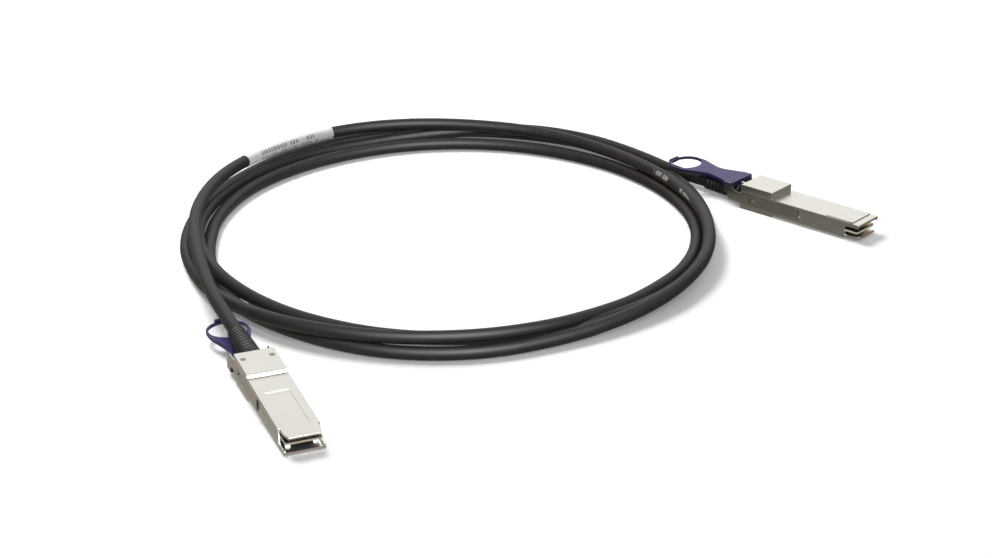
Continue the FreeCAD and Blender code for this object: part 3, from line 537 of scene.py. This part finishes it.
# Thermoplastic elastomer, moulded: soft, near black and almost matt.
boot_rubber = moulded("moulded_tpe_boot", ("#131211", "#1C1A19"), roughness=0.55,
                      grain=0.5556, strength=0.15)
# Polyurethane, moulded over the slide: violet blue with a soft gloss.
tab_rubber = moulded("moulded_tpu_tab", ("#2B2656", "#342F66"), roughness=0.42,
                     grain=0.6667, strength=0.1)
# Glass and epoxy under a printed blue mask, sawn to size: its edges show the glass.
board = moulded("fr4_solder_mask", ("#173A66", "#1D4676"), roughness=0.35,
                grain=0.4545, strength=0.1, edge="#D8CDB4")
# Filled epoxy, moulded round the chip: matt and black.
chip = moulded("epoxy_chip", ("#101010", "#1A1A1A"), roughness=0.6, grain=0.4167, strength=0.2)
# Hot melt poured over the wires: lumpy and black.
fan = moulded("hot_melt_fan", ("#151515", "#222222"), roughness=0.6, grain=1.111, strength=0.2)
# Film and foil wound round each pair: dull silver with the turns just seen.
wire = moulded("twinax_foil", ("#B7AF9C", "#C9C2B2"), roughness=0.4, grain=1.111, strength=0.2)
print("plastics:", *(m.name for m in (boot_rubber, tab_rubber, board, chip, fan, wire)))

# %% Finishes for the parts that stay as they are
FINISHES = {"paddle_card": board, "contacts": gold,
            "memory_chip": chip, "crimp_ring": brass, "wire_fan": fan, "twin_wires": wire,
            "screw_left": screw_steel, "screw_right": screw_steel, "pin_left": screw_steel,
            "pin_right": screw_steel, "spring_left": screw_steel, "spring_right": screw_steel}
for plug in PLUGS:
    for part, surface in FINISHES.items():
        node = nodes["%s_%s" % (plug, part)]
        node.data.materials.clear()
        node.data.materials.append(surface)
print("parts given a finish:", len(PLUGS) * len(FINISHES))

# %% [markdown]
# ## Shaping helpers
# The boots, the metal and the tabs are simple forms that are shaped and cut,
# as a toolmaker would. Each is modelled once, in a plug's own axes and
# millimetres, and copied to both plugs at the end. A block is added, its
# corners are picked by their place and moved or extruded, its edges are
# rounded, and only then are holes cut, so that a shallow recess doesn't hold
# back the rounding of the edges.
# %% Add a form
def block(name, x, y, z):
    """A box between two places along each axis."""
    bpy.ops.object.select_all(action="DESELECT")
    middle = [(low + high) / 2 * MM for low, high in (x, y, z)]
    bpy.ops.mesh.primitive_cube_add(size=1, location=middle)
    made = bpy.context.object
    made.name = name
    made.scale = [(high - low) * MM for low, high in (x, y, z)]
    bpy.ops.object.transform_apply(location=True, rotation=False, scale=True)
    return made


def drum(name, middle, radius, length, along):
    """A round bar about an axis, X, Y or Z."""
    bpy.ops.object.select_all(action="DESELECT")
    turn = {"X": (0, math.pi / 2, 0), "Y": (math.pi / 2, 0, 0), "Z": (0, 0, 0)}[along]
    bpy.ops.mesh.primitive_cylinder_add(vertices=48, radius=radius * MM, depth=length * MM,
                                        location=[m * MM for m in middle], rotation=turn)
    made = bpy.context.object
    made.name = name
    bpy.ops.object.transform_apply(location=True, rotation=True, scale=True)
    return made


# %% Pick, score, pull and shift
def pick(piece, test=None):
    """Go to edit mode with the corners selected that pass a test, or all of them."""
    alone(piece)
    bpy.ops.object.mode_set(mode="EDIT")
    bpy.ops.mesh.select_mode(type="VERT")
    bpy.ops.mesh.select_all(action="DESELECT" if test else "SELECT")
    if test:
        bpy.ops.object.mode_set(mode="OBJECT")
        for corner in piece.data.vertices:
            corner.select = test(*(corner.co / MM))
        bpy.ops.object.mode_set(mode="EDIT")


def score(piece, axis, place):
    """Cut an edge line all round the piece, across one axis."""
    pick(piece)
    spot, normal = [0, 0, 0], [0, 0, 0]
    spot["XYZ".index(axis)], normal["XYZ".index(axis)] = place * MM, 1
    bpy.ops.mesh.bisect(plane_co=spot, plane_no=normal)
    bpy.ops.object.mode_set(mode="OBJECT")


def pull(piece, test, move):
    """Extrude the faces between the picked corners."""
    pick(piece, test)
    bpy.ops.mesh.extrude_region_move(
        TRANSFORM_OT_translate={"value": [m * MM for m in move]})
    bpy.ops.object.mode_set(mode="OBJECT")


def shift(piece, test, move):
    """Move the picked corners."""
    pick(piece, test)
    bpy.ops.transform.translate(value=[m * MM for m in move])
    bpy.ops.object.mode_set(mode="OBJECT")


# %% Round and cut
def round_corner(piece, test, width, steps):
    """Round the edge between the picked corners."""
    pick(piece, test)
    bpy.ops.mesh.bevel(offset=width * MM, segments=steps, affect="EDGES")
    bpy.ops.object.mode_set(mode="OBJECT")


def soften(piece, width, steps=2, angle=35):
    """Round every edge that is sharper than an angle in degrees."""
    alone(piece)
    bevel = piece.modifiers.new("soft_edges", "BEVEL")
    bevel.width = width * MM
    bevel.segments = steps
    bevel.limit_method = "ANGLE"
    bevel.angle_limit = math.radians(angle)
    bpy.ops.object.modifier_apply(modifier="soft_edges")
    return piece


def machine(piece, tool, how="DIFFERENCE"):
    """Cut one piece with another, or weld them, and put the tool away."""
    alone(piece)
    step = piece.modifiers.new("step", "BOOLEAN")
    step.operation, step.solver, step.object = how, "EXACT", tool
    bpy.ops.object.modifier_apply(modifier="step")
    bpy.data.objects.remove(tool)


# %% Close up and fit
# Corners closer than this, in mm, are one corner.
SAME_SPOT = 0.002


def close_up(piece):
    """Merge what the cuts left doubled, close small gaps, and keep flat faces flat."""
    pick(piece)
    bpy.ops.mesh.remove_doubles(threshold=SAME_SPOT * MM)
    bpy.ops.mesh.dissolve_degenerate(threshold=SAME_SPOT * MM)
    bpy.ops.mesh.select_all(action="SELECT")
    bpy.ops.mesh.fill_holes(sides=6)
    bpy.ops.object.mode_set(mode="OBJECT")
    piece.data.validate()
    smooth(piece)
    flat = piece.modifiers.new("flat_faces_stay_flat", "WEIGHTED_NORMAL")
    flat.keep_sharp = True
    bpy.ops.object.modifier_apply(modifier="flat_faces_stay_flat")


def fit(piece, name, part, surface, bodies):
    """Copy a finished piece to both plugs, in place of the solid part."""
    for plug, body in zip(PLUGS, bodies):
        copy = piece.copy()
        copy.data = piece.data.copy()
        scene.collection.objects.link(copy)
        copy.name = "%s_%s" % (plug, name)
        copy.data.transform(PLUGS[plug])
        copy.data.materials.clear()
        copy.data.materials.append(surface)
        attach(copy, body)
        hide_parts("%s_%s" % (plug, part))
    print(name, "faces:", len(piece.data.polygons))
    bpy.data.objects.remove(piece)


# %% [markdown]
# ## Boots
# The cable leaves each plug through a moulded rubber boot that keeps it from
# kinking. It tapers to the cable and has rings cut round it so that it can
# bend. One ring of its outline is shaped from the last by extruding and
# scaling, from a circle at the plug down to the tip.
# %% The boot's outline
# Millimetres along the boot and out from its middle. Each ring starts with a
# cut and ends with a rib.
BOOT_LONG = 28.0
BOOT_RADIUS = 5.1
TAPER = 1.1
COLLAR = 4.5
TIP = 1.5
RINGS = 9
CUT_DEEP = 0.45
pitch = (BOOT_LONG - COLLAR - TIP) / RINGS
outline = [(COLLAR - 0.3, BOOT_RADIUS)]
for ring in range(RINGS):
    # Down into the cut, along its floor, up to the rib, and along the rib.
    start = COLLAR + ring * pitch
    rib = BOOT_RADIUS - TAPER * start / BOOT_LONG
    outline += [(start, rib), (start + 0.25, rib - CUT_DEEP), (start + 0.95, rib - CUT_DEEP),
                (start + 1.2, rib - 0.03), (start + pitch - 0.1, rib - 0.1)]
# The tip closes in on the cable.
outline += [(BOOT_LONG - 0.5, 4.0), (BOOT_LONG, 3.6), (BOOT_LONG, 3.2)]
print("boot stations:", len(outline))

# %% Boots
bpy.ops.object.select_all(action="DESELECT")
bpy.ops.mesh.primitive_circle_add(vertices=40, radius=BOOT_RADIUS * MM, fill_type="NOTHING")
boot = bpy.context.object
boot.name = "boot"
pick(boot)
radius, height = BOOT_RADIUS, 0.0
for long, wide in outline:
    bpy.ops.mesh.extrude_region_move(
        TRANSFORM_OT_translate={"value": (0, 0, (long - height) * MM)})
    bpy.ops.transform.resize(value=(wide / radius, wide / radius, 1))
    radius, height = wide, long
bpy.ops.mesh.select_all(action="SELECT")
bpy.ops.mesh.fill_holes(sides=0)
bpy.ops.mesh.select_all(action="SELECT")
bpy.ops.mesh.normals_make_consistent(inside=False)
bpy.ops.object.mode_set(mode="OBJECT")
soften(boot, width=0.12)
pick(boot)
bpy.ops.mesh.remove_doubles(threshold=SAME_SPOT * MM)
bpy.ops.object.mode_set(mode="OBJECT")
boot.data.transform(Matrix.Translation(Vector((0, 0, CORD_AXIS)) * MM)
                    @ Matrix.Rotation(math.radians(-90), 4, "Y"))
smooth(boot)
fit(boot, "strain_relief", "boot", boot_rubber, FIXED)

# %% [markdown]
# ## Shell halves
# A plug is two castings that meet at a seam along its sides. The tab side
# half has the raised box at the rear and the long lip over the mouth. The
# flat side half steps down at the rear, has a shallow recess for a label,
# and a short lip whose corners draw in, so that it finds its way into a
# cage. Both are hollow for the circuit board, and have a groove in each side
# for the latch's arm.
# %% What both halves have cut out
# Half widths from a plug's middle plane, heights above its flat side and
# lengths from its rear face, in mm.
HALF = 9.175
LIP_HALF = 8.275
REAR_ROOM = (-6.9, 6.9)
SEAM = 3.5
BODY_TOP = 8.5
BODY_LONG = 64.5
PIN_X, PIN_Z = 6.2, 4.4


def hollow_out(piece, low, high):
    """The room for the board, the mouth, the hole for the boot and the side grooves."""
    machine(piece, block("room", x=(35, 66), y=(-7.65, 7.65), z=(low, high)))
    machine(piece, block("mouth", x=(57.85, 75), y=(-8.25, 8.25), z=(low, high)))
    machine(piece, drum("boot_hole", (0.5, 0, CORD_AXIS), radius=4.3, length=5, along="X"))
    for side in (-1, 1):
        outside = side * (HALF + 1)
        machine(piece, block("groove", x=(-1, 36.7), y=sorted((side * (HALF - 0.6), outside)),
                             z=(1.81, 7.4)))
        machine(piece, block("pocket", x=(24, 32), y=sorted((side * (HALF - 1.4), outside)),
                             z=(3.1, 6.1)))
        machine(piece, drum("pin_hole", (PIN_X, side * (HALF - 0.4), PIN_Z),
                            radius=0.76, length=2, along="Y"))


# %% Tab side half
casting = block("tab_side_half", x=(0, BODY_LONG), y=(-HALF, HALF), z=(SEAM, BODY_TOP))
# The lip over the mouth is drawn out of the front, and thins towards its end.
score(casting, "Z", 6.2)
pull(casting, lambda x, y, z: x > 64.4 and z > 6.1, (7.9, 0, 0))
shift(casting, lambda x, y, z: x > 72.3 and z > 8.4, (0, 0, -0.4))
soften(casting, width=0.28, steps=3)
# The box at the rear and the raised pad near the mouth are welded on.
tower = block("box", x=(0, 19.5), y=(-9.025, 9.025), z=(7.3, 12.03))
machine(casting, soften(tower, width=0.3, steps=3), "UNION")
pad = block("raised_pad", x=(52.6, 68.4), y=(-LIP_HALF, LIP_HALF), z=(7.2, 8.8))
machine(casting, soften(pad, width=0.15), "UNION")
machine(casting, block("room_rear", x=(1.5, 35.5), y=REAR_ROOM, z=(0, 7.3)))
machine(casting, block("room_box", x=(1.5, 18.3), y=REAR_ROOM, z=(5, 10.83)))
hollow_out(casting, 0, 6.9)
# Two small keys under the lip.
for middle in (-6, 6):
    key = block("key", x=(66, 68), y=(middle - 1, middle + 1), z=(6, 7.1))
    machine(casting, key, "UNION")
close_up(casting)
fit(casting, "shell_dressed", "shell", nickel, FIXED)

# %% Flat side half
# A casting with a step at the rear, made between two scored lines.
STEP_FROM, STEP_TO = 20, 21
casting = block("flat_side_half", x=(0, BODY_LONG), y=(-HALF, HALF), z=(0, SEAM))
score(casting, "X", STEP_FROM)
score(casting, "X", STEP_TO)
shift(casting, lambda x, y, z: x < STEP_TO - 0.5 and z < 0.1, (0, 0, -1.35))
soften(casting, width=0.28, steps=3, angle=30)
# The short lip narrows from a scored line to its end.
lip = block("lip", x=(62, 72.4), y=(-LIP_HALF, LIP_HALF), z=(0.03, 1.17))
score(lip, "X", 68.4)
pick(lip, lambda x, y, z: x > 72.3)
bpy.ops.transform.resize(value=(1, 6.975 / LIP_HALF, 1))
bpy.ops.object.mode_set(mode="OBJECT")
soften(lip, width=0.25, steps=3, angle=20)
machine(casting, lip, "UNION")
machine(casting, block("room_rear", x=(1.5, 35.5), y=REAR_ROOM, z=(1.2, 5)))
machine(casting, block("room_box", x=(1.5, 18.8), y=REAR_ROOM, z=(-0.15, 5)))
hollow_out(casting, 1.2, 5)
# The recess for a label, and two holes for the screws' heads.
machine(casting, block("recess", x=(34.5, 63.5), y=(-5.2, 5.2), z=(-1, 0.18)))
for side in (-1, 1):
    machine(casting, drum("head_hole", (6.1, side * 6.6, -1.65),
                          radius=1.38, length=2, along="Z"))
close_up(casting)
fit(casting, "cover_dressed", "cover", nickel, FIXED)

# %% [markdown]
# ## Latch slides
# A stamped steel slide runs in the side grooves. Each arm starts as a strip.
# Its rear end is extruded up into an upright and back into a hook, the
# corner between arm and upright is rounded out wide, and the tip is pulled
# forward and out, which is what lets the cage go. The other arm is a copy
# mirrored across the plug, and a plate that the tab hides joins the two.
# %% One arm
# The upright lies behind this place, the hook above its own low edge, and the
# tip between its two edges.
ARM_REAR, ARM_FRONT = -8.6, 34
ARM_LOW, ARM_TOP = 1.9, 7.3
UPRIGHT = -6.1
HOOK_LOW = 5.5
TIP_LOW, TIP_TOP = 2.5, 6.7
arm = block("arm", x=(ARM_REAR, ARM_FRONT), y=(HALF - 0.5, HALF), z=(ARM_LOW, ARM_TOP))
round_corner(arm, lambda x, y, z: abs(x - ARM_REAR) < 0.1 and z < 2, width=2.2, steps=6)
for axis, place in (("X", UPRIGHT), ("Z", HOOK_LOW), ("Z", TIP_LOW), ("Z", TIP_TOP)):
    score(arm, axis, place)
# Up into the upright, back into the hook, and the tip forward and out.
pull(arm, lambda x, y, z: x < -6 and z > 7.2, (0, 0, 3.9))
pull(arm, lambda x, y, z: x < -8.5 and z > 5.4, (-2.3, 0, 0))
pull(arm, lambda x, y, z: x > 33.9 and 2.4 < z < 6.8, (2.5, 0.9, 0))
# The corner between arm and upright, then the hook's low corner.
round_corner(arm, lambda x, y, z: abs(x - UPRIGHT) < 0.1 and abs(z - ARM_TOP) < 0.1,
             width=3.5, steps=10)
round_corner(arm, lambda x, y, z: x < -10.8 and 5.4 < z < 5.6, width=0.6, steps=4)
soften(arm, width=0.11, angle=40)
print("arm faces:", len(arm.data.polygons))

# %% Both arms and their plate
other = arm.copy()
other.data = arm.data.copy()
scene.collection.objects.link(other)
alone(other)
other.scale = (1, -1, 1)
bpy.ops.object.transform_apply(location=False, rotation=False, scale=True)
pick(other)
bpy.ops.mesh.normals_make_consistent(inside=False)
bpy.ops.object.mode_set(mode="OBJECT")
for strip, side in ((arm, 1), (other, -1)):
    slot = drum("slot", (PIN_X, side * HALF, PIN_Z), radius=0.85, length=2, along="Y")
    shift(slot, lambda x, y, z: x > PIN_X + 0.01, (2.5, 0, 0))
    machine(strip, slot)
plate = block("plate", x=(-10.8, -6.2), y=(-HALF + 0.3, HALF - 0.3), z=(9.0, 9.5))
alone(arm)
other.select_set(True)
plate.select_set(True)
bpy.ops.object.join()
close_up(arm)
fit(arm, "latch_dressed", "latch", steel, SLIDES)

# %% [markdown]
# ## Pull tabs
# The tab is soft plastic moulded over the slide: a block between the
# uprights, a neck that narrows to a waist, and a ring for a finger. The neck
# is extruded from the block's rear face and narrowed and widened step by
# step, the ring is a flattened drum welded to it with its hole cut out, and
# all edges are rounded as they come from a mould.
# %% The tab's neck
# The neck is a row of places along it and the half width at each.
TAB_REAR, TAB_HALF = -10.9, 8.55
TAB_LOW, TAB_TOP = 9.3, 11.2
NECK = [(-12.4, 8.1), (-14.0, 7.6), (-16.0, 6.95), (-18.0, 6.35), (-20.0, 5.8), (-22.0, 5.42),
        (-23.5, 5.3), (-25.0, 5.45), (-26.5, 5.85), (-28.0, 6.35), (-29.5, 6.9), (-31.0, 7.45),
        (-32.5, 8.05), (-34.0, 8.65), (-35.5, 9.2), (-37.0, 9.6), (-38.5, 9.85), (-40.5, 9.95)]
tab = block("tab", x=(TAB_REAR, -8), y=(-TAB_HALF, TAB_HALF), z=(TAB_LOW, TAB_TOP))
# Its front end draws in a little, so that it hides inside the block.
shift(tab, lambda x, y, z: x > -8.1 and z > 11, (0, 0, -0.3))
shift(tab, lambda x, y, z: x > -8.1 and y > 8, (0, -0.3, 0))
shift(tab, lambda x, y, z: x > -8.1 and y < -8, (0, 0.3, 0))
at_x, at_y = TAB_REAR, TAB_HALF
for place, wide in NECK:
    pick(tab, lambda x, y, z: x < at_x + 0.01)
    bpy.ops.mesh.extrude_region_move(
        TRANSFORM_OT_translate={"value": ((place - at_x) * MM, 0, 0)})
    bpy.ops.transform.resize(value=(1, wide / at_y, 1))
    bpy.ops.object.mode_set(mode="OBJECT")
    at_x, at_y = place, wide
# The neck is thinner where it meets the ring.
shift(tab, lambda x, y, z: x < -32 and z < TAB_LOW + 0.1, (0, 0, 0.6))
print("neck steps:", len(NECK))

# %% The tab's ring
RING_X = -42


def oval(name, long, wide, low, high):
    """A flattened drum about the ring's middle, its half length and half width in mm."""
    made = drum(name, (0, 0, (low + high) / 2), 1, high - low, "Z")
    made.scale = (long, wide, 1)
    made.location.x = RING_X * MM
    alone(made)
    bpy.ops.object.transform_apply(location=True, rotation=False, scale=True)
    return made


machine(tab, oval("ring", 8.6, 9.95, TAB_LOW + 0.62, TAB_TOP), "UNION")
machine(tab, oval("ring_hole", 7.55, 8.95, TAB_LOW - 2, TAB_TOP + 2))
pick(tab)
bpy.ops.mesh.dissolve_limited(angle_limit=math.radians(1))
bpy.ops.object.mode_set(mode="OBJECT")
soften(tab, width=0.3, steps=3, angle=40)
print("neck and ring faces:", len(tab.data.polygons))

# %% The tab's block, wings and grip
front = block("tab_block", x=(TAB_REAR, -5.6), y=(-TAB_HALF, TAB_HALF), z=(8.4, TAB_TOP))
wings = block("tab_wings", x=(-6.05, -5.62), y=(-9.1, 9.1), z=(8.42, 11.16))
soften(front, width=0.3, steps=3)
soften(wings, width=0.15)
# Both are slotted for the slide's plate and hollowed over the boot.
for piece in (front, wings):
    machine(piece, block("slot", x=(-7, -5), y=(-2.2, 2.2), z=(8.7, 9.8)))
    machine(piece, drum("boot_room", (-8, 0, CORD_AXIS), radius=5.45, length=12, along="X"))
grip = block("tab_grip", x=(-51.3, -50.2), y=(-3.7, 3.7), z=(8.9, 11.6))
soften(grip, width=0.3, steps=3)
alone(tab)
for piece in (front, wings, grip):
    piece.select_set(True)
bpy.ops.object.join()
close_up(tab)
fit(tab, "pull_tab_dressed", "pull_tab", tab_rubber, SLIDES)
